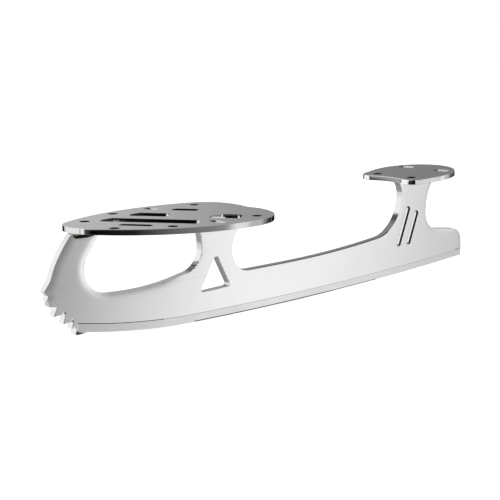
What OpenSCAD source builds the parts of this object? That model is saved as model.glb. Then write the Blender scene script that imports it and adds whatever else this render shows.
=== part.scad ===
// Ice dance skate blade: one steel blade with its toe picks, a sole plate and a heel plate,
// joined by three brazed seams. X runs from the toe to the tail, Z is up, and the
// lowest point of the ground edge stands at Z = 0, midway along the blade.

/* [Blade] */
// Overall length, foot of the toe picks to the tail
blade_length = 254; // [236:1:280]
// Thickness of the steel
blade_t = 3.8; // [3.2:0.1:5]
// Depth of the runner behind the middle stanchion
runner_front_depth = 19.1; // [16:0.1:22]
// Depth of the runner at the heel stanchion's foot
runner_rear_depth = 21.2; // [18:0.1:25]
// Depth of the runner's tail
tail_depth = 14.7; // [12:0.1:17]
// Corner radius of the tail
tail_r = 7.5; // [3:0.1:9]

/* [Edge] */
// Radius of the main rocker, seen from the side
rocker_r = 2134; // [1800:1:2600]
// Lowest point of the rocker, behind the foot of the picks
rocker_x = 75.5; // [73:0.5:84]
// Radius of the spin rocker under the toe
spin_r = 300; // [240:5:420]
// Start of the spin rocker, behind the foot of the picks
spin_x = 71; // [58:1:72]
// Radius of the hollow that is ground along the edge
hollow_r = 12.7; // [8:0.1:20]
// Height of the relieved band along the edge
relief_h = 3.4; // [2.4:0.1:4.5]
// Depth of the relief on each side
relief_d = 0.3; // [0.1:0.05:0.5]

/* [Toe picks] */
// How far the drag pick stands below the spin rocker's line
pick_drop = 1.4; // [0.8:0.1:2.4]
// Drag pick's lowest point, behind the foot of the picks
pick_x = 15.1; // [14:0.1:16]
// Radius of the relief bored at the deepest tooth roots
root_bore_r = 0.45; // [0.2:0.05:0.6]

/* [Sole plate] */
// Top of the sole plate above the edge
sole_height = 47.2; // [45:0.1:54]
// Plate tip, behind the foot of the picks
sole_x = 13.8; // [13:0.1:15]
// Length of the sole plate
sole_length = 92.3; // [88:0.1:100]
// Width from the blade to the plate's straighter side
sole_straight_half = 31.3; // [29:0.1:34]
// Width from the blade to the plate's fuller side
sole_full_half = 32.3; // [30:0.1:35]
// Radius of the straighter side
sole_straight_r = 100.5; // [90:0.5:120]
// Radius of the fuller side
sole_full_r = 69.2; // [66:0.2:80]
// Radius of the plate's toe
sole_toe_r = 13.8; // [12:0.1:16]
// How far the toe's middle stands to the straighter side
sole_toe_y = 3.5; // [0:0.1:5]
// Radius of the rear corner on the straighter side
sole_straight_rear_r = 16; // [12:0.1:20]
// Radius of the rear corner on the fuller side
sole_full_rear_r = 26.2; // [20:0.1:28]
// Depth of the shallow scoop in the rear edge
sole_scoop = 1.1; // [0.6:0.1:2]

/* [Heel plate] */
// Top of the heel plate's middle above the edge
heel_height = 55.8; // [52:0.1:62]
// Slope of the heel plate, up to the rear
heel_pitch = 5.2; // [0:0.1:8]
// Radius of the plate's round rear
heel_r = 22.1; // [20:0.1:25]
// Radius of the plate's front corners
heel_corner_r = 6.6; // [4:0.1:8]
// Front corners' centres ahead of the round rear's centre
heel_corner_x = 12.3; // [10:0.1:16]
// Half the distance between the front corners' centres
heel_corner_y = 13.1; // [11:0.1:15]
// Depth of the scoop in the front edge
heel_scoop = 2.1; // [1:0.1:3]

/* [Plates and screws] */
// Thickness of both plates
plate_t = 2.4; // [1.8:0.1:3.2]
// Diameter of the round screw holes and width of the slots
screw_d = 4.3; // [3.6:0.1:5]
// Overall length of the slots in the sole plate
sole_slot_l = 8.4; // [7:0.1:11]
// Overall length of the slots in the heel plate
heel_slot_l = 9; // [7:0.1:11]

/* [Stanchions] */
// Middle of the middle stanchion, behind the foot of the picks
mid_x = 84.6; // [82:0.1:88]
// Waist of the middle stanchion
mid_w = 17; // [15:0.1:20]
// Middle of the heel stanchion, ahead of the tail
heel_x = 40.1; // [38:0.1:46]
// Waist of the heel stanchion
heel_w = 19; // [17:0.1:22]
// Thickness of the braze film between plate and stanchion
braze_film = 0.1; // [0.05:0.01:0.2]
// Leg of the braze fillet along the stanchion
braze_leg = 1.5; // [0.8:0.1:2]
// Diameter of the braze feed hole in the heel plate
feed_d = 3.5; // [2.5:0.1:4]

/* [Openings] */
// Corner radius of the three-sided window
window_r = 1.2; // [0.5:0.1:2]
// Width of the two slots in the heel stanchion
blade_slot_w = 2.9; // [2:0.1:3.2]
// Lean of those slots from upright
blade_slot_lean = 20.3; // [10:0.1:24]
// Turn of the cut-outs in the sole plate
cut_turn = -49; // [-56:1:-42]

/* [Hidden] */

steel = [0.80, 0.80, 0.79];
plate_steel = [0.66, 0.67, 0.68];
braze_metal = [0.76, 0.74, 0.68];

arc_error = 0.008;
over = 1;
toe_x = -blade_length / 2;
tail_x = blade_length / 2;

// Places along X
vertex_x = toe_x + rocker_x;
spin_start = toe_x + spin_x;
pick = toe_x + pick_x;
plate_tip = toe_x + sole_x;
mid_c = toe_x + mid_x;
heel_c = tail_x - heel_x;

// The edge's curve: a long rocker, then a tighter one towards the toe, tangent where they meet
function rocker_z(x) = rocker_r - sqrt(pow(rocker_r, 2) - pow(x - vertex_x, 2));
spin_slope = asin((spin_start - vertex_x) / rocker_r);
spin_centre = [spin_start - spin_r * sin(spin_slope), rocker_z(spin_start) + spin_r * cos(spin_slope)];
function spin_z(x) = spin_centre.y - sqrt(pow(spin_r, 2) - pow(x - spin_centre.x, 2));
function edge_z(x) = x < spin_start ? spin_z(x) : rocker_z(x);

// The runner's top follows the edge's curve, then grows deeper in a long sweep towards the heel
sweep_start = mid_c + 45.4;
foot_x = heel_c - heel_w / 2 - 17.6;
function sweep(x) = max(0, x - sweep_start) / (foot_x - sweep_start);
function runner_top(x) = rocker_z(x) + runner_front_depth
    + (runner_rear_depth - runner_front_depth) * pow(sweep(x), 2);
foot_slope = (foot_x - vertex_x) / rocker_r
    + 2 * (runner_rear_depth - runner_front_depth) / (foot_x - sweep_start);

// Undersides that the stanchions reach, less the braze film
sole_under = sole_height - plate_t;
stanchion_top = sole_under - braze_film;
function heel_point(x, z) = [heel_c + x * cos(heel_pitch) - z * sin(heel_pitch),
                             heel_height + x * sin(heel_pitch) + z * cos(heel_pitch)];

// Arc points, from one angle to another, as fine as the chord error asks
function arc_steps(r, sweep) = max(1, ceil(abs(sweep) / (2 * acos(1 - arc_error / max(r, 0.05)))));
function arc(c, r, a0, a1) = let(n = arc_steps(r, a1 - a0))
    [for (i = [0:n]) c + r * [cos(a0 + (a1 - a0) * i / n), sin(a0 + (a1 - a0) * i / n)]];

// A closed outline of corners [x, y, radius]; a radius gives way only where its sides are too short
function flat(p) = [p.x, p.y];
function towards(p, q) = (q - p) / norm(q - p);
function half_angle(a, b, c) = acos(max(-1, min(1, towards(b, a) * towards(b, c)))) / 2;
function at(pts, i) = pts[(i + len(pts)) % len(pts)];
function reach(pts, i) = let(a = flat(at(pts, i - 1)), b = flat(at(pts, i)), c = flat(at(pts, i + 1)))
    at(pts, i)[2] == 0 ? 0 : at(pts, i)[2] / tan(half_angle(a, b, c));
function side(pts, i) = norm(flat(at(pts, i + 1)) - flat(at(pts, i)));
function room(pts, i) = min(1, side(pts, i - 1) / max(0.001, reach(pts, i - 1) + reach(pts, i)),
                            side(pts, i) / max(0.001, reach(pts, i) + reach(pts, i + 1)));
function corner(a, b, c, r) = let(
        h = half_angle(a, b, c),
        centre = b + towards([0, 0], towards(b, a) + towards(b, c)) * r / sin(h),
        p = b + towards(b, a) * r / tan(h) - centre,
        q = b + towards(b, c) * r / tan(h) - centre,
        a0 = atan2(p.y, p.x),
        turn = atan2(p.x * q.y - p.y * q.x, p * q))
    arc(centre, r, a0, a0 + turn);
function rounded(pts) = [for (i = [0:len(pts) - 1]) let(r = pts[i][2])
    each r == 0 ? [flat(pts[i])]
        : corner(flat(at(pts, i - 1)), flat(pts[i]), flat(at(pts, i + 1)), r * room(pts, i))];

// Blade outline, corner by corner
grind_stock = 0.6;
tail_lean = 0.8;
tail_slope = 0.1;
heel_root_r = 9.5;
heel_fillet_r = 19.7;
mid_root_r = 9.5;
window_root_r = 10;
window_arc_r = 110;
toe_root_r = 10;

heel_front_x = heel_c - heel_w / 2;
heel_rear_x = heel_c + heel_w / 2;
mid_front_x = mid_c - mid_w / 2;
mid_rear_x = mid_c + mid_w / 2;
tail_top = rocker_z(tail_x) + tail_depth;

// Heel stanchion's flare, from the waist to its seat under the plate
heel_seat_z = -plate_t - braze_film;
heel_seat_front = -13.3;
heel_seat_rear = 18.4;
heel_flare_front = 2.8;
heel_flare_rear = 7.6;

// Middle stanchion's seat, from behind the window to just inside the plate's rear edge
mid_seat_front = mid_front_x - 3.2;
mid_seat_rear = plate_tip + sole_length - sole_scoop - 0.6;
mid_seat_land = 1.2;

// Toe stanchion's seat and front edge
toe_seat_front = toe_x + 12.4;
toe_seat_rear = toe_x + 25.9;
foot_rise = 19.9;
pick_low = edge_z(pick) - pick_drop;

// Tooth corners from the foot down to the drag pick, measured from its lowest point
tooth_corners = [
    [-13.4, 17.9], [-14.3, 16.2],
    [-13.2, 15.6], [-12.9, 13.5],
    [-9.8, 13.3], [-11.4, 9.4],
    [-6.3, 9.9], [-7.3, 5.9],
    [-2.9, 6.1], [-3.6, 3.3],
    [-1.2, 4.4], [-2.3, 0.8]];
root_bores = [[-6.6, 10.2], [-3.1, 6.4]];
ground_end = pick + 3.6;
stock_step = 6;
runner_steps = 12;

function blade_corners() = concat(
    // Ground edge, with the stock that the hollow takes off
    [for (x = [ground_end:stock_step:tail_x - stock_step / 2]) [x, edge_z(x) - grind_stock, 0]],
    // Tail
    [[tail_x, rocker_z(tail_x) - grind_stock, 0],
     [tail_x, rocker_z(tail_x) + 1, 0],
     [tail_x - tail_lean, tail_top, tail_r],
     [heel_rear_x, tail_top + tail_slope * (tail_x - heel_rear_x), heel_root_r]],
    // Heel stanchion
    [[heel_rear_x, heel_point(0, heel_seat_z).y - heel_flare_rear, 24],
     concat(heel_point(heel_seat_rear, heel_seat_z), 0),
     concat(heel_point(heel_seat_front, heel_seat_z), 0),
     [heel_front_x, heel_point(heel_seat_front, heel_seat_z).y - heel_flare_front, 8.4],
     [heel_front_x, runner_top(foot_x) + foot_slope * (heel_front_x - foot_x), heel_fillet_r]],
    // Top of the runner
    [for (i = [0:runner_steps]) let(x = foot_x - i / runner_steps * (foot_x - mid_rear_x - 12))
        [x, runner_top(x), 0]],
    // Middle stanchion
    [[mid_rear_x, runner_top(mid_rear_x), mid_root_r],
     [mid_rear_x, stanchion_top - 7.8, 11.5],
     [mid_seat_rear, stanchion_top - mid_seat_land, 0],
     [mid_seat_rear, stanchion_top, 0],
     [mid_seat_front, stanchion_top, 0],
     [mid_front_x, stanchion_top - 6, 24]],
    // Window between the stanchions
    [[mid_front_x, runner_top(mid_front_x) + 4.8, window_root_r],
     [mid_front_x - 26.4, edge_z(mid_front_x - 26.4) + 17.5, window_arc_r],
     [toe_x + 24.7, pick_low + 15, 14],
     [toe_x + 14.8, pick_low + 24.6, toe_root_r]],
    // Toe stanchion
    [[toe_seat_rear, stanchion_top, 0],
     [toe_seat_front, stanchion_top, 0],
     [toe_x + 9.7, stanchion_top - 3.3, 25],
     [toe_x + 4.9, stanchion_top - 11.1, 30],
     [toe_x + 2.8, pick_low + 23.6, 6],
     [pick - pick_x, pick_low + foot_rise, 0]],
    // Toe picks
    [for (p = tooth_corners) [pick + p.x, pick_low + p.y, 0]],
    [[pick - 0.6, pick_low, 0], [ground_end, edge_z(ground_end), 0]]);

module blade_slot(x, z, l) {
    translate([x, z]) rotate(-blade_slot_lean) union() {
        square([blade_slot_w, l - blade_slot_w], center = true);
        for (s = [-1, 1]) translate([0, s * (l - blade_slot_w) / 2]) circle(d = blade_slot_w, $fn = 48);
    }
}

// Three-sided window low in the middle stanchion
window_corners = [[-0.6, 28.8], [-9.8, 12.4], [7.5, 13.2]];

module blade_profile() {
    difference() {
        polygon(rounded(blade_corners()));
        polygon(rounded([for (p = window_corners) [mid_c + p.x, edge_z(mid_c) + p.y, window_r]]));
        blade_slot(heel_c - 7.5, rocker_z(heel_c) + 23.6, 21.5);
        blade_slot(heel_c - 0.5, rocker_z(heel_c) + 22.3, 18.4);
        for (b = root_bores) translate([pick + b.x, pick_low + b.y]) circle(r = root_bore_r, $fn = 32);
    }
}

// Relieved band along the edge, cut from each side face
module relief_band() {
    top = [for (x = [pick - 0.9:stock_step:tail_x + stock_step]) [x, edge_z(x) + relief_h]];
    end = top[len(top) - 1];
    polygon(concat(top, [[end.x, -over * 4], [top[0].x, -over * 4]]));
}

// Grinding wheel's path: its round rim swept about a rocker's centre
module hollow(centre, r, from, to) {
    half = blade_t / 2 - relief_d;
    rim = r + sqrt(pow(hollow_r, 2) - pow(half, 2));
    $fn = 3600;
    translate([centre.x, 0, centre.y]) rotate([90, 0, 0]) rotate([0, 0, from - 90])
        rotate_extrude(angle = to - from) intersection() {
            translate([rim, 0]) circle(r = hollow_r, $fn = 180);
            translate([r - 1.5, -half - over]) square([4, 2 * (half + over)]);
        }
}

module blade() {
    spin_end = asin((ground_end - 0.3 - spin_centre.x) / spin_r);
    tail_end = asin((tail_x + 4 - vertex_x) / rocker_r);
    color(steel) difference() {
        rotate([90, 0, 0]) linear_extrude(blade_t, center = true) blade_profile();
        for (s = [-1, 1]) translate([0, s * (blade_t / 2 - relief_d + over), 0])
            rotate([90, 0, 0]) linear_extrude(2 * over, center = true) relief_band();
        hollow([vertex_x, rocker_r], rocker_r, spin_slope - 0.4, tail_end);
        hollow(spin_centre, spin_r, spin_end, spin_slope);
    }
}

// A round slot across the plate
module cross_slot(l) {
    square([screw_d, l - screw_d], center = true);
    for (s = [-1, 1]) translate([0, s * (l - screw_d) / 2]) circle(d = screw_d, $fn = 64);
}

// Sole plate: a toe arc, a side arc tangent to it, and a rear corner arc, on each side in turn.
// The outline is foot-shaped, so its two sides differ; the straighter one lies towards +Y.
straight_land = 6.1;
full_land = 2.1;

// Screw rows of the sole plate: [behind the tip, half the spacing]
sole_toe_row = [12.7, 11.2];
sole_front_row = [32.9, 22];
sole_slot_row = [54, 23.6];
sole_rear_row = [76.4, 22];

function sole_side(half_width, side_r, rear_r, toe_y) = let(
        side_y = half_width - side_r,
        side_x = sole_toe_r + sqrt(pow(side_r - sole_toe_r, 2) - pow(side_y - toe_y, 2)),
        rear_x = sole_length - rear_r,
        rear_y = side_y + sqrt(pow(side_r - rear_r, 2) - pow(rear_x - side_x, 2)),
        toe_a = atan2(toe_y - side_y, sole_toe_r - side_x),
        rear_a = atan2(rear_y - side_y, rear_x - side_x))
    concat(arc([sole_toe_r, toe_y], sole_toe_r, 180, toe_a),
           arc([side_x, side_y], side_r, toe_a, rear_a),
           arc([rear_x, rear_y], rear_r, rear_a, 0));

// Shallow scoop between the ends of the two rear corners, leaving a short straight land at each
function scoop(from, to) = let(
        half = (from - to) / 2,
        r = (pow(half, 2) + pow(sole_scoop, 2)) / (2 * sole_scoop),
        a = asin(half / r))
    arc([sole_length - sole_scoop + r, (from + to) / 2], r, 180 - a, 180 + a);

// Lightening cut-outs, all at one slant: [middle x, middle y, length, width, front nose]
sole_cuts = [
    [34.4, -4.7, 41.2, 6.8, 2.8],
    [43.9, 9.7, 16.8, 6.6, 2.8],
    [23.5, -10, 14, 3, 1.2],
    [63.9, 11.9, 12, 4, 1.5],
    [66, -14.5, 13, 8, 5]];

sole_cut_r = 1.6;

module sole_cut(l, w, nose) {
    r = min(sole_cut_r, w / 3);
    polygon(rounded([[-l / 2, -w / 2 + 1, 0], [-l / 2 + 1, -w / 2, 0], [l / 2, -w / 2, r], [l / 2, w / 2, r],
                     [-l / 2 + nose, w / 2, r / 4], [-l / 2, 0, r / 4]]));
}

module sole_plate() {
    straight = sole_side(sole_straight_half, sole_straight_r, sole_straight_rear_r, sole_toe_y);
    full = sole_side(sole_full_half, sole_full_r, sole_full_rear_r, -sole_toe_y);
    color(plate_steel) translate([plate_tip, 0, sole_under]) linear_extrude(plate_t) difference() {
        polygon(concat(straight,
                       scoop(straight[len(straight) - 1].y - straight_land,
                             full_land - full[len(full) - 1].y),
                       [for (i = [len(full) - 1:-1:1]) [full[i].x, -full[i].y]]));
        for (row = [sole_toe_row, sole_front_row, sole_rear_row], s = [-1, 1])
            translate([row.x, s * row.y]) circle(d = screw_d, $fn = 64);
        for (s = [-1, 1]) translate([sole_slot_row.x, s * sole_slot_row.y]) cross_slot(sole_slot_l);
        for (c = sole_cuts) translate([c[0], c[1]]) rotate(cut_turn) sole_cut(c[2], c[3], c[4]);
    }
}

// Heel plate: a round rear, straight sides tangent to it, rounded front corners and a front scoop
heel_corner_c = [-heel_corner_x, heel_corner_y];
heel_front_dip = heel_corner_x + heel_corner_r - heel_scoop;
heel_round_x = -0.9;
heel_scoop_r = (pow(heel_corner_x - heel_front_dip, 2) + pow(heel_corner_y, 2) - pow(heel_corner_r, 2))
    / (2 * (heel_corner_r + heel_corner_x - heel_front_dip));
heel_side_a = atan2(heel_corner_y, -heel_corner_x)
    - acos((heel_r - heel_corner_r) / norm(heel_corner_c));
heel_dip_a = atan2(-heel_corner_y, -heel_front_dip - heel_scoop_r + heel_corner_x) + 360;

// Screw rows of the heel plate: [from the plate's middle, half the spacing]
heel_front_row = [-13.7, 11.3];
heel_slot_row = [8.9, 11.7];

function heel_half() = concat(
    arc([0, 0], heel_r, 0, heel_side_a),
    arc(heel_corner_c, heel_corner_r, heel_side_a, heel_dip_a),
    arc([-heel_front_dip - heel_scoop_r, 0], heel_scoop_r, heel_dip_a - 180, 0));

module heel_frame() {
    translate([heel_c, 0, heel_height]) rotate([0, -heel_pitch, 0]) children();
}

module heel_plate() {
    half = heel_half();
    color(plate_steel) heel_frame() translate([0, 0, -plate_t]) linear_extrude(plate_t) difference() {
        translate([heel_round_x, 0])
            polygon(concat(half, [for (i = [len(half) - 2:-1:1]) [half[i].x, -half[i].y]]));
        for (s = [-1, 1]) {
            translate([heel_front_row.x, s * heel_front_row.y]) circle(d = screw_d, $fn = 64);
            translate([heel_slot_row.x, s * heel_slot_row.y]) cross_slot(heel_slot_l);
        }
        circle(d = feed_d, $fn = 64);
    }
}

// Braze along one seat: the thin film on top of the stanchion and a hollow fillet down each side
module braze(from, to) {
    half = blade_t / 2;
    translate([from, 0, 0]) rotate([90, 0, 90]) linear_extrude(to - from) difference() {
        translate([-half - braze_leg, -braze_film - braze_leg])
            square([2 * (half + braze_leg), braze_film + braze_leg]);
        translate([-half, -braze_film - 2 * braze_leg]) square([2 * half, 2 * braze_leg]);
        for (s = [-1, 1]) translate([s * (half + braze_leg), -braze_film - braze_leg])
            circle(r = braze_leg, $fn = 64);
    }
}

module toe_braze() {
    color(braze_metal) translate([0, 0, sole_under]) braze(plate_tip + 2.2, toe_seat_rear);
}

module middle_braze() {
    color(braze_metal) translate([0, 0, sole_under]) braze(mid_seat_front, mid_seat_rear);
}

// The heel seam is fed through a small hole and fills it flush with the plate's top
module heel_braze() {
    color(braze_metal) heel_frame() {
        translate([0, 0, -plate_t]) braze(heel_seat_front, heel_seat_rear);
        translate([0, 0, -plate_t - braze_film]) cylinder(d = feed_d, h = plate_t + braze_film, $fn = 64);
    }
}

blade();
sole_plate();
heel_plate();
toe_braze();
middle_braze();
heel_braze();
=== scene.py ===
import math

import bmesh
import bpy
import numpy as np
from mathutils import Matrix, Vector, noise


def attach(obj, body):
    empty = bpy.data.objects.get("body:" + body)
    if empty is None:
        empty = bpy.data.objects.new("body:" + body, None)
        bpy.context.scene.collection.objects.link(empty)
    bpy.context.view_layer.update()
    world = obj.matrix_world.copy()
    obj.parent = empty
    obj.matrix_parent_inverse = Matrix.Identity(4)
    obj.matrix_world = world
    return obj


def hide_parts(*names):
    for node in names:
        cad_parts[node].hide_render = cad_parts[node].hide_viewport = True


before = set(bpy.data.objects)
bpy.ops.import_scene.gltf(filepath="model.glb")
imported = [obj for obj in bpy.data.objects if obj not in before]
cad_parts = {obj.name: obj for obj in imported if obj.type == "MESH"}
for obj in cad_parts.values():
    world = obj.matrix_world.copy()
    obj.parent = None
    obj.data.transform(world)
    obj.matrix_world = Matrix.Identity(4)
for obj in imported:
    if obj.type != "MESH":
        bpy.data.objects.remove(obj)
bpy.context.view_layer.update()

scene = bpy.context.scene
print("frame loaded:", ", ".join(sorted(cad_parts)))


# The picture's own view, fitted to the blade's edges and to both plates.
cameraSet = {
    "azimuth": -40.03,
    "elevation": 10.54,
    "distance": 0.4513,
    "target": (-0.02212, 0.0, 0.0276),
    "lens": 72.0,
    "sensor": 36.0,
    "clip": (0.01, 40.0),
}


def placeCamera(s):
    a, e = math.radians(s["azimuth"]), math.radians(s["elevation"])
    back = Vector((math.sin(a) * math.cos(e), -math.cos(a) * math.cos(e), math.sin(e)))
    data = bpy.data.cameras.new("pictureCamera")
    data.lens = s["lens"]
    data.sensor_width = s["sensor"]
    data.clip_start, data.clip_end = s["clip"]
    camera = bpy.data.objects.new("pictureCamera", data)
    scene.collection.objects.link(camera)
    camera.location = Vector(s["target"]) + back * s["distance"]
    camera.rotation_mode = "QUATERNION"
    camera.rotation_quaternion = (-back).to_track_quat("-Z", "Y")
    scene.camera = camera


placeCamera(cameraSet)
scene.view_settings.view_transform = "Standard"
print("camera placed")


def addNode(tree, kind, **values):
    node = tree.nodes.new(kind)
    for name, value in values.items():
        setattr(node, name, value)
    return node


def setInputs(node, **values):
    for name, value in values.items():
        node.inputs[name].default_value = value
    return node


def feed(tree, socket, value):
    # value is another node's output, a colour or a number
    if isinstance(value, bpy.types.NodeSocket):
        tree.links.new(value, socket)
    else:
        socket.default_value = (*value, 1.0) if isinstance(value, tuple) else value


def doMath(tree, operation, a, b):
    node = addNode(tree, "ShaderNodeMath", operation=operation)
    feed(tree, node.inputs[0], a)
    feed(tree, node.inputs[1], b)
    return node.outputs[0]


def mapRange(tree, value, span, result=(0.0, 1.0), soft=False):
    kind = "SMOOTHSTEP" if soft else "LINEAR"
    node = addNode(tree, "ShaderNodeMapRange", interpolation_type=kind)
    for i, number in enumerate((value, *span, *result)):
        feed(tree, node.inputs[i], number)
    return node.outputs[0]


# sockets of a Mix node for its share, its first value, its second value and what it gives
mixSockets = {"FLOAT": (0, 2, 3, 0), "RGBA": (0, 6, 7, 2)}


def mixed(tree, kind, share, a, b):
    node = addNode(tree, "ShaderNodeMix", data_type=kind)
    *given, result = mixSockets[kind]
    for i, value in zip(given, (share, a, b)):
        feed(tree, node.inputs[i], value)
    return node.outputs[result]


def ringRamp(tree, value, stops):
    # stops are (degrees round the blade from +X, brightness)
    node = addNode(tree, "ShaderNodeValToRGB")
    tree.links.new(value, node.inputs[0])
    ramp = node.color_ramp
    ramp.interpolation = "LINEAR"
    while len(ramp.elements) > 1:
        ramp.elements.remove(ramp.elements[-1])
    for i, (degrees, bright) in enumerate(stops):
        place = (degrees + 180.0) / 360.0
        stop = ramp.elements[0] if i == 0 else ramp.elements.new(place)
        stop.position = place
        stop.color = (bright, bright, bright, 1.0)
    return node.outputs[0]


# Two large soft boxes at the blade's sides, a grey wall behind it and a dark room
# behind the camera, as the steel's own reflections show them.
studioSet = {
    # brightness round the blade: +X is 0 degrees, the camera looks from -130
    "lowRing": [
        (-180, 0.3), (-177, 1.0), (-169, 1.2), (-166.5, 1.0), (-164.5, 0.08), (-160, 0.0),
        (-129, 0.02), (-119, 0.07), (-98, 0.18), (-80, 0.24), (-67, 0.3), (-61, 0.38),
        (-56, 0.78), (-52, 1.02), (-46, 1.03), (-42, 0.87), (-38, 0.6), (-28, 0.6), (-16, 0.3),
        (-6, 0.1), (8, 0.0), (28, 0.01), (56, 0.0), (62, 0.5), (68, 0.4), (73, 0.0), (96, 0.0),
        (104, 0.7), (118, 1.06), (177, 1.04), (180, 0.3)],
    "midRing": [
        (-180, 1.35), (-165, 1.2), (-150, 0.25), (-100, 0.15), (-60, 0.28), (-57, 0.36),
        (-53, 0.8), (-50, 0.95), (-42, 0.95), (-36, 0.7), (-20, 0.4), (10, 0.22), (36, 0.24),
        (43, 0.26), (50, 0.36), (55, 0.48), (60, 0.58), (72, 0.38), (86, 0.4), (100, 0.95),
        (110, 1.35), (180, 1.35)],
    "highRing": [
        (-180, 1.3), (-150, 0.5), (-110, 0.2), (-60, 0.35), (-30, 0.5), (20, 0.25), (60, 0.34),
        (100, 0.36), (112, 0.3), (120, 0.13), (138, 0.1), (155, 0.5), (180, 1.3)],
    "underRing": [
        (-180, 0.01), (-172, 0.1), (-150, 0.2), (-100, 0.25), (-75, 0.32), (-64, 0.42),
        (-60, 0.5), (-56, 0.86), (-51, 1.04), (-43, 1.0), (-35, 0.6), (-20, 0.25), (8, 0.0),
        (30, 0.01), (60, 0.3), (84, 1.1), (109, 1.25), (115, 0.8), (121, 0.5), (150, 0.44),
        (160, 0.27), (168, 0.15), (176, 0.05), (180, 0.01)],
    "deepRing": [
        (-180, 0.05), (-100, 0.15), (-45, 0.12), (-25, 0.0), (50, 0.0), (75, 0.2), (95, 0.36),
        (110, 0.42), (150, 0.42), (180, 0.05)],
    # heights between which one ring gives way to the next
    "horizon": (-0.15, -0.05),
    "wallTop": (0.45, 0.56),
    "floorEdge": (-0.21, -0.29),
    "deepEdge": (-0.45, -0.6),
    "ceiling": (0.80, 0.97),
    "ceilingLight": 0.35,
    "strength": 1.0,
    "backdrop": 1.0,
    "floorSize": 12.0,
    "floorGlow": 0.85,
    "floorPaint": 0.86,
    "floorRough": 0.9,
    "fillPower": 0.55,
    "fillSize": 1.6,
    "fillHeight": 1.5,
}


def lightRoom(s):
    world = bpy.data.worlds.new("softStudio")
    scene.world = world
    world.use_nodes = True
    tree = world.node_tree
    tree.nodes.clear()
    parts = addNode(tree, "ShaderNodeSeparateXYZ")
    direction = addNode(tree, "ShaderNodeTexCoord").outputs["Generated"]
    tree.links.new(direction, parts.inputs[0])
    around = doMath(tree, "ARCTAN2", parts.outputs["Y"], parts.outputs["X"])
    place = mapRange(tree, around, (-math.pi, math.pi))
    height = parts.outputs["Z"]
    room = ringRamp(tree, place, s["lowRing"])
    for ring, edge in (("midRing", "horizon"), ("highRing", "wallTop"),
                       ("underRing", "floorEdge"), ("deepRing", "deepEdge")):
        rise = mapRange(tree, height, s[edge], soft=True)
        room = mixed(tree, "FLOAT", rise, room, ringRamp(tree, place, s[ring]))
    rise = mapRange(tree, height, s["ceiling"], soft=True)
    room = mixed(tree, "FLOAT", rise, room, s["ceilingLight"])
    seen = addNode(tree, "ShaderNodeLightPath").outputs["Is Camera Ray"]
    light = setInputs(addNode(tree, "ShaderNodeBackground"), Color=(1.0, 1.0, 1.0, 1.0))
    glow = doMath(tree, "MULTIPLY", room, s["strength"])
    tree.links.new(mixed(tree, "FLOAT", seen, glow, s["backdrop"]), light.inputs["Strength"])
    out = addNode(tree, "ShaderNodeOutputWorld")
    tree.links.new(light.outputs[0], out.inputs[0])


def layFloor(s):
    # pale floor, which the steel doesn't mirror
    bm = bmesh.new()
    bmesh.ops.create_grid(bm, x_segments=1, y_segments=1, size=s["floorSize"] / 2)
    mesh = bpy.data.meshes.new("paleFloor")
    bm.to_mesh(mesh)
    bm.free()
    floor = bpy.data.objects.new("paleFloor", mesh)
    scene.collection.objects.link(floor)
    floor.visible_glossy = False
    paint = bpy.data.materials.new("palePaper")
    paint.use_nodes = True
    shader = paint.node_tree.nodes["Principled BSDF"]
    setInputs(shader, **{
        "Base Color": (s["floorPaint"],) * 3 + (1.0,), "Roughness": s["floorRough"],
        "Specular IOR Level": 0.0, "Emission Color": (1.0, 1.0, 1.0, 1.0),
        "Emission Strength": s["floorGlow"]})
    mesh.materials.append(paint)


def hangFill(s):
    fill = bpy.data.lights.new("overheadFill", "AREA")
    fill.shape = "DISK"
    fill.size = s["fillSize"]
    fill.energy = s["fillPower"]
    lamp = bpy.data.objects.new("overheadFill", fill)
    lamp.location = (0.0, 0.0, s["fillHeight"])
    lamp.visible_glossy = False
    scene.collection.objects.link(lamp)


lightRoom(studioSet)
layFloor(studioSet)
hangFill(studioSet)
print("studio lit")


def newGroup(name, scale, outputs):
    # a node group that reads a place and a scale, and gives the named values
    tree = bpy.data.node_groups.new(name, "ShaderNodeTree")
    tree.interface.new_socket("Vector", in_out="INPUT", socket_type="NodeSocketVector")
    socket = tree.interface.new_socket("Scale", in_out="INPUT", socket_type="NodeSocketFloat")
    socket.default_value = scale
    for label in outputs:
        tree.interface.new_socket(label, in_out="OUTPUT", socket_type="NodeSocketFloat")
    return tree, tree.nodes.new("NodeGroupInput").outputs, tree.nodes.new("NodeGroupOutput").inputs


def noiseAt(tree, vector, scale, detail, rough):
    node = setInputs(addNode(tree, "ShaderNodeTexNoise"), Detail=detail, Roughness=rough)
    feed(tree, node.inputs["Vector"], vector)
    feed(tree, node.inputs["Scale"], scale)
    return node.outputs[0]


grindSet = {
    "scale": 900.0,
    "fine": (3.0, 0.6),     # detail and roughness of the noise
    "coarse": (2.0, 0.5),
    "coarseScale": 0.23,    # against the fine one's
    "coarseShare": 0.35,
    "toneSpan": (0.36, 0.64),
}


def buildGrindLines(s):
    # long fine scratches left by the polishing belt, as a height and a tone
    tree, given, made = newGroup("grindLines", s["scale"], ("Height", "Tone"))
    fine = noiseAt(tree, given["Vector"], given["Scale"], *s["fine"])
    wider = doMath(tree, "MULTIPLY", given["Scale"], s["coarseScale"])
    coarse = noiseAt(tree, given["Vector"], wider, *s["coarse"])
    height = mixed(tree, "FLOAT", s["coarseShare"], fine, coarse)
    tree.links.new(height, made["Height"])
    tree.links.new(mapRange(tree, height, s["toneSpan"], soft=True), made["Tone"])
    return tree


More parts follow.
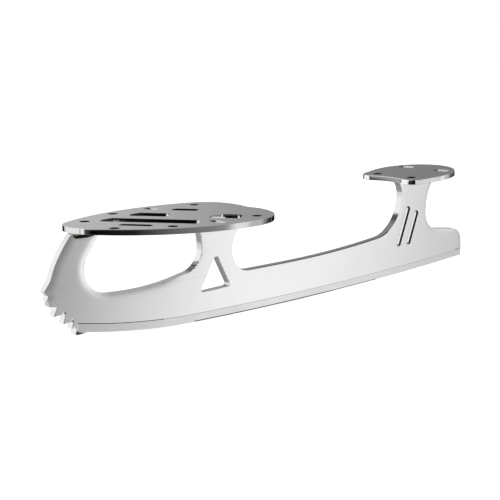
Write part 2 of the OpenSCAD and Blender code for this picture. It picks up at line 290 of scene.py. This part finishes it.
handlingSet = {
    "scale": 60.0,
    "cloud": (4.0, 0.6),
    "cloudSpan": (0.35, 0.7),
    "hair": (1.0, 0.5),
    "hairTurn": (0.0, 0.31, 0.12),
    "hairStretch": (14.0, 420.0, 300.0),
    "hairSpan": (0.68, 0.72),
}


def buildHandling(s):
    # faint cloudy marks of wiping and storage, and a few hairline scratches
    tree, given, made = newGroup("handlingMarks", s["scale"], ("Cloud", "Scratches"))
    cloud = noiseAt(tree, given["Vector"], given["Scale"], *s["cloud"])
    tree.links.new(mapRange(tree, cloud, s["cloudSpan"], soft=True), made["Cloud"])
    stretch = addNode(tree, "ShaderNodeMapping")
    tree.links.new(given["Vector"], stretch.inputs["Vector"])
    setInputs(stretch, Rotation=s["hairTurn"], Scale=s["hairStretch"])
    hair = noiseAt(tree, stretch.outputs[0], 1.0, *s["hair"])
    tree.links.new(mapRange(tree, hair, s["hairSpan"]), made["Scratches"])
    return tree


grindLines = buildGrindLines(grindSet)
handlingMarks = buildHandling(handlingSet)


def useGroup(tree, group, vector, scale):
    node = addNode(tree, "ShaderNodeGroup", node_tree=group)
    tree.links.new(vector, node.inputs["Vector"])
    return setInputs(node, Scale=scale).outputs


def steelFinish(name, s):
    material = bpy.data.materials.new(name)
    material.use_nodes = True
    tree = material.node_tree
    shader = tree.nodes["Principled BSDF"]
    where = addNode(tree, "ShaderNodeTexCoord").outputs["Object"]
    stretch = setInputs(addNode(tree, "ShaderNodeMapping"), Scale=s["grainStretch"])
    tree.links.new(where, stretch.inputs["Vector"])
    lines = useGroup(tree, grindLines, stretch.outputs[0], s["grainScale"])
    marks = useGroup(tree, handlingMarks, where, s["cloudScale"])
    base = mixed(tree, "RGBA", lines["Tone"], s["lineColour"], s["colour"])
    clouds = doMath(tree, "MULTIPLY", marks["Cloud"], s["cloudTint"])
    base = mixed(tree, "RGBA", clouds, base, s["cloudColour"])
    tree.links.new(base, shader.inputs["Base Color"])
    rough = mapRange(tree, marks["Cloud"], (0.0, 1.0), s["roughness"])
    for mask, share in ((lines["Tone"], s["grainRough"]), (marks["Scratches"], s["scratchRough"])):
        rough = doMath(tree, "ADD", rough, doMath(tree, "MULTIPLY", mask, share))
    tree.links.new(rough, shader.inputs["Roughness"])
    setInputs(shader, Metallic=s["metal"])
    bump = setInputs(addNode(tree, "ShaderNodeBump"), Strength=s["bump"], Distance=s["bumpDepth"])
    tree.links.new(lines["Height"], bump.inputs["Height"])
    tree.links.new(bump.outputs[0], shader.inputs["Normal"])
    return material


# Finishes of the blade's faces, each with its grain's direction and fineness
polishedSide = {
    "colour": (0.885, 0.885, 0.88), "lineColour": (0.865, 0.865, 0.86),
    "cloudColour": (0.87, 0.872, 0.875), "cloudTint": 0.4, "cloudScale": 38.0, "metal": 1.0,
    "grainStretch": (0.02, 1.0, 1.0), "grainScale": 2600.0, "grainRough": 0.015,
    "roughness": (0.12, 0.15), "scratchRough": 0.03, "bump": 0.12, "bumpDepth": 0.000006,
}
cutWall = {
    "colour": (0.64, 0.64, 0.64), "lineColour": (0.6, 0.6, 0.605),
    "cloudColour": (0.61, 0.61, 0.61), "cloudTint": 0.4, "cloudScale": 160.0, "metal": 1.0,
    "grainStretch": (1.0, 0.03, 1.0), "grainScale": 2200.0, "grainRough": 0.03,
    "roughness": (0.06, 0.11), "scratchRough": 0.03, "bump": 0.2, "bumpDepth": 0.00001,
}
reliefBand = {
    "colour": (0.82, 0.82, 0.815), "lineColour": (0.77, 0.77, 0.77),
    "cloudColour": (0.8, 0.8, 0.8), "cloudTint": 0.4, "cloudScale": 80.0, "metal": 1.0,
    "grainStretch": (0.02, 1.0, 1.0), "grainScale": 1800.0, "grainRough": 0.04,
    "roughness": (0.16, 0.22), "scratchRough": 0.03, "bump": 0.25, "bumpDepth": 0.00001,
}
groundHollow = {
    "colour": (0.86, 0.86, 0.86), "lineColour": (0.66, 0.66, 0.67),
    "cloudColour": (0.8, 0.8, 0.8), "cloudTint": 0.3, "cloudScale": 120.0, "metal": 1.0,
    "grainStretch": (0.012, 1.0, 1.0), "grainScale": 3000.0, "grainRough": 0.12,
    "roughness": (0.2, 0.3), "scratchRough": 0.05, "bump": 0.7, "bumpDepth": 0.00004,
}
# rubbed edges: a little lighter, partly wear and partly painted highlight
sheenRubbedEdge = {
    "colour": (0.93, 0.93, 0.925), "lineColour": (0.88, 0.88, 0.88),
    "cloudColour": (0.9, 0.9, 0.9), "cloudTint": 0.5, "cloudScale": 220.0, "metal": 1.0,
    "grainStretch": (1.0, 1.0, 1.0), "grainScale": 1600.0, "grainRough": 0.03,
    "roughness": (0.12, 0.2), "scratchRough": 0.03, "bump": 0.2, "bumpDepth": 0.00001,
}
dullLedge = dict(reliefBand, roughness=(0.5, 0.55), metal=0.5)

# Finishes of the plates. Their walls are lit and shaded copies of one steel: painted reflection
# and painted shade for what a wall mirrors at its place.
satinPlate = {
    "colour": (0.72, 0.722, 0.735), "lineColour": (0.70, 0.702, 0.715),
    "cloudColour": (0.71, 0.713, 0.727), "cloudTint": 0.4, "cloudScale": 45.0, "metal": 1.0,
    "grainStretch": (0.05, 1.0, 1.0), "grainScale": 2000.0, "grainRough": 0.02,
    "roughness": (0.14, 0.18), "scratchRough": 0.02, "bump": 0.08, "bumpDepth": 0.000006,
}
soleWall = {
    "colour": (0.76, 0.76, 0.745), "lineColour": (0.70, 0.70, 0.685),
    "cloudColour": (0.73, 0.73, 0.715), "cloudTint": 0.4, "cloudScale": 150.0, "metal": 1.0,
    "grainStretch": (1.0, 1.0, 0.03), "grainScale": 1500.0, "grainRough": 0.01,
    "roughness": (0.015, 0.03), "scratchRough": 0.02, "bump": 0.08, "bumpDepth": 0.000004,
}
heelWall = dict(
    soleWall, colour=(0.82, 0.82, 0.82), lineColour=(0.76, 0.76, 0.76),
    cloudColour=(0.79, 0.79, 0.79))
# painted shade: a dark copy of the heel wall for its front scoop
scoopShadeWall = dict(
    heelWall, colour=(0.37, 0.37, 0.37), lineColour=(0.33, 0.33, 0.33),
    cloudColour=(0.35, 0.35, 0.35))
# painted highlight: a white, duller copy of the heel wall for walls facing bright light
highlightWall = dict(
    heelWall, colour=(0.95, 0.95, 0.95), lineColour=(0.92, 0.92, 0.92),
    cloudColour=(0.93, 0.93, 0.93), roughness=(0.5, 0.55), metal=0.3)
# painted shade: a dark copy of the sole wall for cut-out walls, the runner's buffed crest and the
# rear of the edge line
openingShade = dict(
    soleWall, colour=(0.27, 0.27, 0.27), lineColour=(0.22, 0.22, 0.225),
    cloudColour=(0.24, 0.24, 0.24), grainRough=0.02, roughness=(0.05, 0.09), bump=0.15,
    bumpDepth=0.00001)
# painted shade: a near-black copy for narrow noses, the shaded half of the heel slots and the
# front of the edge line
noseShade = dict(
    openingShade, colour=(0.08, 0.08, 0.08), lineColour=(0.06, 0.06, 0.06),
    cloudColour=(0.07, 0.07, 0.07), grainRough=0.05, roughness=(0.2, 0.3))

# Finishes of the brazed seams: bright braze, and the toe's, darkened with painted shade as it lies
# under the sole plate's toe
silverBraze = {
    "colour": (0.86, 0.845, 0.79), "lineColour": (0.78, 0.76, 0.70),
    "cloudColour": (0.74, 0.70, 0.62), "cloudTint": 0.7, "cloudScale": 260.0, "metal": 1.0,
    "grainStretch": (0.6, 1.0, 1.0), "grainScale": 700.0, "grainRough": 0.03,
    "roughness": (0.12, 0.24), "scratchRough": 0.0, "bump": 0.4, "bumpDepth": 0.00003,
}
# painted shade: the toe seam's braze is made nearly black under the sole plate's toe
shadedToeBraze = dict(
    silverBraze, colour=(0.25, 0.245, 0.23), lineColour=(0.2, 0.195, 0.18),
    cloudColour=(0.18, 0.17, 0.15))

steelSide = steelFinish("polishedSideSteel", polishedSide)
steelWall = steelFinish("laserCutWall", cutWall)
steelRelief = steelFinish("relievedBandSteel", reliefBand)
steelLedge = steelFinish("dullLedgeSteel", dullLedge)
steelHollow = steelFinish("groundHollowSteel", groundHollow)
plateFace = steelFinish("satinPlateSteel", satinPlate)
soleRim = steelFinish("solePlateWall", soleWall)
heelRim = steelFinish("heelPlateWall", heelWall)
scoopShade = steelFinish("shadedHeelScoopWall", scoopShadeWall)
paintedHighlight = steelFinish("paintedHighlightSteel", highlightWall)
greyShade = steelFinish("paintedGreyShadeSteel", openingShade)
darkShade = steelFinish("paintedDarkShadeSteel", noseShade)
edgeShine = steelFinish("sheenRubbedEdgeSteel", sheenRubbedEdge)
brazeFinish = steelFinish("silverBrazeMetal", silverBraze)
shadedToeBrazeFinish = steelFinish("shadedToeBrazeMetal", shadedToeBraze)
print("finishes made")


# What the mesh work of every piece uses. Groups of faces are kept in order, as the keys
# of a dictionary, so that each run cuts them one after another in the same way.
meshSet = {
    "merge": 2e-6,
    "shortest": 1e-6,
    "flatter": 0.05,     # degrees between faces that are taken as one
    "cutMargin": 1e-6,
    "cutSnap": 1e-7,
    "sharp": 40.0,
    "flatWeight": 80,
}


def meshOfNode(node):
    bm = bmesh.new()
    bm.from_mesh(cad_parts[node].data)
    bmesh.ops.remove_doubles(bm, verts=bm.verts, dist=meshSet["merge"])
    bmesh.ops.dissolve_degenerate(bm, edges=bm.edges, dist=meshSet["shortest"])
    bmesh.ops.dissolve_limit(bm, angle_limit=math.radians(meshSet["flatter"]),
                             verts=bm.verts, edges=bm.edges, delimit={"NORMAL"})
    bm.normal_update()
    return bm


def finishPiece(bm, name, node, finishes):
    bm.normal_update()
    limit = math.radians(meshSet["sharp"])
    for edge in bm.edges:
        edge.smooth = len(edge.link_faces) == 2 and edge.calc_face_angle(0.0) < limit
    for face in bm.faces:
        face.smooth = True
    mesh = bpy.data.meshes.new(name)
    bm.to_mesh(mesh)
    bm.free()
    for finish in finishes:
        mesh.materials.append(finish)
    piece = bpy.data.objects.new(name, mesh)
    scene.collection.objects.link(piece)
    flat = piece.modifiers.new("flatFaces", "WEIGHTED_NORMAL")
    flat.keep_sharp = True
    flat.weight = meshSet["flatWeight"]
    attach(piece, "root")
    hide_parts(node)
    print(name, "has", len(mesh.polygons), "faces")


def sharpEdges(bm, degrees):
    limit = math.radians(degrees)
    return [e for e in bm.edges if len(e.link_faces) == 2 and e.calc_face_angle(0.0) > limit]


def roundEdges(bm, edges, width, segments, kind, clamp=True):
    # rounds the edges, and the new narrow faces are of the given kind
    made = bmesh.ops.bevel(bm, geom=edges, offset=width, offset_type="OFFSET",
                           segments=segments, profile=0.5, affect="EDGES",
                           clamp_overlap=clamp, material=-1)
    for face in made["faces"]:
        face.material_index = kind


def sliceFaces(bm, faces, axis, places):
    # cuts only the given faces with planes square to one axis, and returns all their parts
    normal, point = [0.0, 0.0, 0.0], [0.0, 0.0, 0.0]
    normal[axis] = 1.0
    faces, margin = dict.fromkeys(faces), meshSet["cutMargin"]
    for place in places:
        hit = []
        for face in faces:
            spots = [v.co[axis] for v in face.verts]
            if min(spots) < place - margin and max(spots) > place + margin:
                hit.append(face)
        if not hit:
            continue
        point[axis] = place
        around = dict.fromkeys(e for f in hit for e in f.edges)
        around.update(dict.fromkeys(v for f in hit for v in f.verts))
        made = bmesh.ops.bisect_plane(bm, geom=hit + list(around), dist=meshSet["cutSnap"],
                                      plane_co=point, plane_no=normal)
        faces.update((g, None) for g in made["geom"] if isinstance(g, bmesh.types.BMFace))
    return list(faces)


def steps(low, high, step):
    return [low + step * (i + 0.5) for i in range(int((high - low) / step))]


def wallLoops(faces):
    # walls joined side by side, one list for each loop, the front-most loop first
    left, loops = dict.fromkeys(faces), []
    while left:
        near, loop = {next(iter(left)): None}, []
        while near:
            loop += near
            for face in near:
                del left[face]
            beside = (n for f in near for e in f.edges for n in e.link_faces)
            near = dict.fromkeys(n for n in beside if n in left)
        loops.append(loop)
    return sorted(loops, key=lambda loop: min(v.co.x for f in loop for v in f.verts))


# Steel blade: the kinds of its faces, in the order of its finishes
(bladeSide, bladeWall, bladeBand, bladeHollow, bladeArris,
 bladeShade, bladeLedge, bladePaintedGrey) = range(8)
bladeSet = {
    "finishes": [steelSide, steelWall, steelRelief, steelHollow, edgeShine,
                 darkShade, steelLedge, greyShade],
    "margin": 1e-5,
    "sideHalf": 0.0019,
    "sideFacing": 0.99,
    "reliefHalf": 0.0016,
    "hollowTop": 0.0062,
    "hollowFront": -0.108,
    "hollowFacing": -0.9,
    "ledgeRise": 0.00035,
    "ledgeFacing": (-0.95, -0.3),
    "ledgeFade": -0.07,
    "sharpest": 32.0,  # degrees from which an edge is rounded
    "arris": 0.00008,
    "arrisSegments": 2,
    "crest": (-0.036, 0.072),  # front and rear of the runner's buffed upper edge
    "crestFacing": 0.85,
    "crestRound": 0.0004,
    "crestSegments": 3,
    "toothRear": -0.1135,
    "toothTop": 0.0215,
    "buffWidth": 0.0038,
    "buffPower": 3,
    # (place along the blade, depth)
    "buffDepth": [(-0.072, 0.00018), (-0.062, 0.00002), (0.098, 0.00002), (0.108, 0.00018)],
    "gridLength": (-0.127, 0.127),
    "gridHeight": (0.0, 0.056),
    "grid": 0.001,
    "slotFront": 0.07,
    "slotRearFacing": -0.7,
    "slotShade": -0.0005,
    "pickFront": -0.1129,
    "pickRear": -0.1099,
    "pickMargin": 0.0006,
    "pickCore": 0.0006,
    "pickTop": 0.0056,
    "pickSlope": 0.43,
    "pickCut": 0.6,
    "pickHeight": (0.0038, 0.0062),
    "pickGrid": 0.0003,
    "lineWidth": 0.00045,
    "lineFacing": -0.7,
    "edgeShadeLine": (-0.055, 0.03, 0.06),  # where it starts, where it turns grey, where it ends
}


def facesOf(bm, kind):
    return [f for f in bm.faces if f.material_index == kind]


def kindsBeside(part):
    return {f.material_index for f in part.link_faces}


def sortBlade(bm, s):
    for face in bm.faces:
        middle = face.calc_center_median()
        depths = [v.co.y for v in face.verts]
        thin = max(depths) - min(depths) < s["sideHalf"]
        ground = (face.normal.z < s["hollowFacing"] and middle.z < s["hollowTop"]
                  and middle.x > s["hollowFront"] and not thin)
        if abs(face.normal.y) > s["sideFacing"]:
            onSide = abs(middle.y) > (s["sideHalf"] + s["reliefHalf"]) / 2
            face.material_index = bladeSide if onSide else bladeBand
        elif ground:
            face.material_index = bladeHollow
        else:
            outside = thin and abs(middle.y) > s["reliefHalf"]
            face.material_index = bladeBand if outside else bladeWall


def slopeLedge(bm, s):
    # the band's ledge runs out in a short slope, which is duller towards the heel
    for vert in bm.verts:
        outside = abs(vert.co.y) > s["sideHalf"] - s["margin"]
        if outside and {bladeSide, bladeBand} <= kindsBeside(vert):
            vert.co.z += s["ledgeRise"]
    bm.normal_update()
    low, high = s["ledgeFacing"]
    for face in facesOf(bm, bladeBand):
        if low < face.normal.z < high and face.calc_center_median().x > s["ledgeFade"]:
            face.material_index = bladeLedge


def outlineOf(bm, s):
    # edges between a side face and the outer wall, seen from the side, but for the teeth
    lines = []
    for face in wallLoops(facesOf(bm, bladeWall))[0]:
        for edge in face.edges:
            low = min(edge.verts, key=lambda v: v.co.z).co
            tooth = low.x < s["toothRear"] and low.z < s["toothTop"]
            if kindsBeside(edge) == {bladeSide, bladeWall} and low.y < 0.0 and not tooth:
                lines.append([[v.co.x, v.co.z] for v in edge.verts])
    return np.array(lines)


def outlineDistance(points, lines, batch=2000):
    # from each point to the nearest line, worked out for one batch of points after another
    start, run = lines[:, 0], lines[:, 1] - lines[:, 0]
    size = np.maximum((run ** 2).sum(1), 1e-16)  # never zero
    best = np.empty(len(points))
    for i in range(0, len(points), batch):
        gap = points[i:i + batch, None] - start[None]
        share = np.clip((gap * run[None]).sum(2) / size[None], 0.0, 1.0)
        off = gap - share[..., None] * run[None]
        best[i:i + batch] = np.sqrt((off ** 2).sum(2).min(1))
    return best


def sizeAt(x, stops):
    # a size that changes along the blade, from its (x, size) stops
    return float(np.interp(x, [stop[0] for stop in stops], [stop[1] for stop in stops]))


def sideEdges(bm, s):
    # sharp edges between a side face and a wall
    sharp = sharpEdges(bm, s["sharpest"])
    return [e for e in sharp if kindsBeside(e) == {bladeSide, bladeWall}]


def roundBlade(bm, s):
    # the runner's upper edge is buffed round, and its rounding gets painted shade; all other edges
    # of the sides are only rubbed, and get a lighter finish, partly painted highlight
    front, rear = s["crest"]
    crest = [e for e in sideEdges(bm, s) if all(front < v.co.x < rear for v in e.verts)
             and max(f.normal.z for f in e.link_faces) > s["crestFacing"]]
    roundEdges(bm, crest, s["crestRound"], s["crestSegments"], bladePaintedGrey, clamp=False)
    roundEdges(bm, sideEdges(bm, s), s["arris"], s["arrisSegments"], bladeArris)


def buffSides(bm, s, lines):
    # the sides are buffed, and fall away towards the outline
    side = sliceFaces(bm, facesOf(bm, bladeSide), 0, steps(*s["gridLength"], s["grid"]))
    sliceFaces(bm, side, 2, steps(*s["gridHeight"], s["grid"]))
    inside = s["sideHalf"] - s["arris"] - 2 * s["margin"]
    worn = [v for v in bm.verts if abs(v.co.y) > inside]
    far = outlineDistance(np.array([[v.co.x, v.co.z] for v in worn]), lines)
    for vert, gap in zip(worn, far):
        fall = sizeAt(vert.co.x, s["buffDepth"])
        fall *= max(0.0, 1.0 - gap / s["buffWidth"]) ** s["buffPower"]
        vert.co.y -= math.copysign(fall, vert.co.y)


def shadeSlots(bm, s):
    # near half of a slot's rear wall lies in the shade of its front wall
    for loop in wallLoops(facesOf(bm, bladeWall))[1:]:
        if all(v.co.x > s["slotFront"] for f in loop for v in f.verts):
            rear = [f for f in loop if f.normal.x < s["slotRearFacing"]]
            for face in sliceFaces(bm, rear, 1, [s["slotShade"]]):
                if face.calc_center_median().y < s["slotShade"]:
                    face.material_index = bladeShade


def grindPick(bm, s):
    # drag pick's foot is ground to a slope on both sides
    front, rear, beyond = s["pickFront"], s["pickRear"], s["pickRear"] + s["pickMargin"]
    foot = [f for f in facesOf(bm, bladeBand) if min(v.co.x for v in f.verts) < rear]
    foot = sliceFaces(bm, foot, 0, steps(front, beyond, s["pickGrid"]))
    foot = [f for f in foot if max(v.co.x for v in f.verts) < beyond]
    sliceFaces(bm, foot, 2, steps(*s["pickHeight"], s["pickGrid"]))
    for vert in bm.verts:
        x, y, z = vert.co
        over = z - s["pickTop"] + (x - front) * s["pickSlope"]
        if front < x < rear + s["margin"] and over < 0.0 and abs(y) > s["pickCore"]:
            half = min(abs(y), s["reliefHalf"] + over * s["pickCut"])
            vert.co.y = math.copysign(half, y)
            for face in vert.link_faces:
                face.material_index = bladeWall


def paintEdgeShade(bm, s):
    # a thin strip of painted shade runs along the band's lower edge, dark in front and greyer
    # behind
    start, turn, end = s["edgeShadeLine"]
    band = [f for f in facesOf(bm, bladeBand) if abs(f.normal.y) > s["sideFacing"]
            and min(v.co.x for v in f.verts) > s["pickRear"]]
    band = [f for f in sliceFaces(bm, band, 0, s["edgeShadeLine"])
            if start < f.calc_center_median().x < end]
    made = bmesh.ops.inset_region(bm, faces=band, thickness=s["lineWidth"],
                                  use_boundary=True, use_even_offset=True)
    for face in made["faces"]:
        if any(f.normal.z < s["lineFacing"] for e in face.edges for f in e.link_faces):
            dark = face.calc_center_median().x < turn
            face.material_index = bladeShade if dark else bladePaintedGrey


def makeBlade(s):
    bm = meshOfNode("blade")
    sortBlade(bm, s)
    slopeLedge(bm, s)
    lines = outlineOf(bm, s)
    roundBlade(bm, s)
    buffSides(bm, s, lines)
    shadeSlots(bm, s)
    grindPick(bm, s)
    paintEdgeShade(bm, s)
    finishPiece(bm, "iceBlade", "blade", s["finishes"])


# Lightening cut-outs: all at one slant, with a pointed nose in front and a round corner
# at the rear
cutSet = {
    "turn": -49.0,
    "shortest": 0.01,
    "roundest": 0.005,
    "lengthwise": 0.85,
    "wider": 1.38,
    "corner": 0.0016,
    "cornerShare": 3,  # the corner takes up to a third of the width
    "cornerMargin": 2e-5,
    "cornerGrow": 1.9,
    "openNose": 0.0075,
    "noseFacing": 0.15,
}

# Plates: the kinds of their faces, in the order of their finishes
(plateTop, plateRim, plateArris, plateShadedWall, plateShadedNose,
 plateHighlight, plateShadedScoop, plateLitWall) = range(8)
plateSet = {
    "finishes": [edgeShine, greyShade, darkShade, paintedHighlight, scoopShade, heelRim],  # after top and rim
    "wallFacing": 0.9,
    "scoopFacing": -0.7,
    "sharpest": 60.0,
    "arris": 0.00015,
    "segments": 2,
}
soleSet = {
    "node": "sole_plate",
    "name": "soleplateSteel",
    "rim": soleRim,
    "scoop": (0.0, 0.0),  # none with a finish of its own
    "tones": [],
}
heelSet = {
    "node": "heel_plate",
    "name": "heelplateSteel",
    "rim": heelRim,
    "scoop": (-0.0103, 0.0112),  # its near and its far end
    # kinds of wall by the way they face, in degrees from +Y by way of -X: painted highlight on
    # some, painted shade on others
    "tones": [(70.0, 102.0, plateHighlight), (104.0, 131.0, plateShadedNose),
              (134.0, 171.0, plateHighlight), (191.0, 235.0, plateShadedScoop)],
}


def shapeCut(walls, s):
    a = math.radians(s["turn"])
    run, across = Vector((math.cos(a), math.sin(a), 0.0)), Vector((-math.sin(a), math.cos(a), 0.0))
    verts = {v for f in walls for v in f.verts}
    lengths, widths = [v.co.dot(run) for v in verts], [v.co.dot(across) for v in verts]
    front, rear, near, far = min(lengths), max(lengths), min(widths), max(widths)
    if rear - front < s["shortest"]:
        # a cross slot's long walls get a painted highlight, and a round hole keeps the painted
        # shade of all opening walls
        for face in walls:
            if rear - front > s["roundest"] and abs(face.normal.x) > s["lengthwise"]:
                face.material_index = plateHighlight
        return
    # noses of narrow cut-outs get painted shade; the noses of wide ones and the walls facing the
    # toe get a lighter copy, painted reflection
    for face in walls:
        ahead, aside = face.normal.dot(run), face.normal.dot(across)
        if ahead > s["noseFacing"] and aside < -s["noseFacing"]:
            face.material_index = plateShadedNose if far - near < s["openNose"] else plateLitWall
        elif face.normal.x < -s["lengthwise"]:
            face.material_index = plateLitWall
    corner = min(s["corner"], (far - near) / s["cornerShare"]) + s["cornerMargin"]
    for vert in verts:
        toRear, toFar = rear - vert.co.dot(run), far - vert.co.dot(across)
        if toRear < corner and toFar < corner:
            vert.co -= (run * toRear + across * toFar) * (s["cornerGrow"] - 1.0)
        vert.co += across * (vert.co.dot(across) - (near + far) / 2) * (s["wider"] - 1.0)


def wallTone(face, s):
    near, far = s["scoop"]
    # the scoop's walls get painted shade, the others painted highlight and shade by the way they
    # face
    if face.normal.x < plateSet["scoopFacing"] and near < face.calc_center_median().y < far:
        return plateShadedScoop
    turn = (math.degrees(math.atan2(face.normal.y, face.normal.x)) - 90.0) % 360.0
    for low, high, tone in s["tones"]:
        if low < turn < high:
            return tone
    return plateRim


def makePlate(s):
    bm = meshOfNode(s["node"])
    up = max(bm.faces, key=lambda f: f.calc_area()).normal.copy()
    for face in bm.faces:
        face.material_index = plateTop
    walls = [f for f in bm.faces if abs(f.normal.dot(up)) < plateSet["wallFacing"]]
    outer, *openings = wallLoops(walls)
    for face in outer:
        face.material_index = wallTone(face, s)
    # the walls of all cut-outs start with painted shade
    for opening in openings:
        for face in opening:
            face.material_index = plateShadedWall
        shapeCut(opening, cutSet)
    walls, outer = set(walls), set(outer)
    sharp = [e for e in sharpEdges(bm, plateSet["sharpest"])
             if len({f in walls for f in e.link_faces}) == 2 and outer & set(e.link_faces)]
    roundEdges(bm, sharp, plateSet["arris"], plateSet["segments"], plateArris)
    finishes = [plateFace, s["rim"], *plateSet["finishes"]]
    finishPiece(bm, s["name"], s["node"], finishes)


# Brazed seams: fillets with rounded ends and a slightly uneven run
heelSeamSet = {
    "node": "heel_braze",
    "name": "heelSeam",
    "finish": brazeFinish,
    "pitch": 5.2,
    "ends": (0.0025, 0.0025),
    "spread": (0.0, 0.0),
    "bead": None,
    "deeper": 1.0,
}
middleSeamSet = dict(heelSeamSet, node="middle_braze", name="middleSeam", pitch=0.0)
toeSeamSet = {
    "node": "toe_braze",
    "name": "toeSeam",
    "finish": shadedToeBrazeFinish,
    "pitch": 0.0,
    "ends": (0.0006, 0.006),
    "spread": (-0.0023, -0.0008),
    "bead": 0.0018,
    "deeper": 1.12,
}
seamSet = {
    "half": 0.0019,
    "film": 0.0001,
    "step": 0.0005,
    "ripple": 0.07,
    "rippleScale": 700.0,
    "rippleRow": 3.0,
    "thinnest": 0.1,
    "margin": 1e-5,
    "touch": 1e-6,
}


def makeSeam(s, shared):
    bm = meshOfNode(s["node"])
    lengths = [v.co.x for v in bm.verts]
    sliceFaces(bm, bm.faces, 0, steps(min(lengths), max(lengths), shared["step"]))
    a, half = math.radians(s["pitch"]), shared["half"]
    run, up = Vector((math.cos(a), 0.0, math.sin(a))), Vector((-math.sin(a), 0.0, math.cos(a)))
    wide = [v for v in bm.verts if abs(v.co.y) > half + shared["margin"]]
    roof = max(v.co.dot(up) for v in wide) - shared["film"]
    low, high = min(v.co.dot(run) for v in wide), max(v.co.dot(run) for v in wide)
    deepest = max(roof - v.co.dot(up) for v in bm.verts)
    for vert in bm.verts:
        place, depth = vert.co.dot(run), roof - vert.co.dot(up)
        share = (place - low) / (high - low)
        vert.co += run * (s["spread"][0] * (1.0 - share) + s["spread"][1] * share)
        spot = Vector((place * shared["rippleScale"], shared["rippleRow"], 0.0))
        size = 1.0 + shared["ripple"] * (noise.noise(spot) - 0.5)
        for gap, length in ((place - low, s["ends"][0]), (high - place, s["ends"][1])):
            if gap < length:
                size *= math.sqrt(max(0.0, 1.0 - (1.0 - max(gap, 0.0) / length) ** 2))
        size = max(shared["thinnest"], min(size, 1.0))
        if depth > shared["touch"]:
            vert.co += up * depth * (1.0 - size * s["deeper"])
        if abs(vert.co.y) > half + shared["touch"]:
            width = abs(vert.co.y) - half
            if s["bead"]:
                width = s["bead"] * max(0.0, 1.0 - depth / deepest)
            vert.co.y = math.copysign(half + width * size, vert.co.y)
    finishPiece(bm, s["name"], s["node"], [s["finish"]])


makeBlade(bladeSet)
makePlate(soleSet)
makePlate(heelSet)
for seam in (toeSeamSet, middleSeamSet, heelSeamSet):
    makeSeam(seam, seamSet)
print("pieces made")
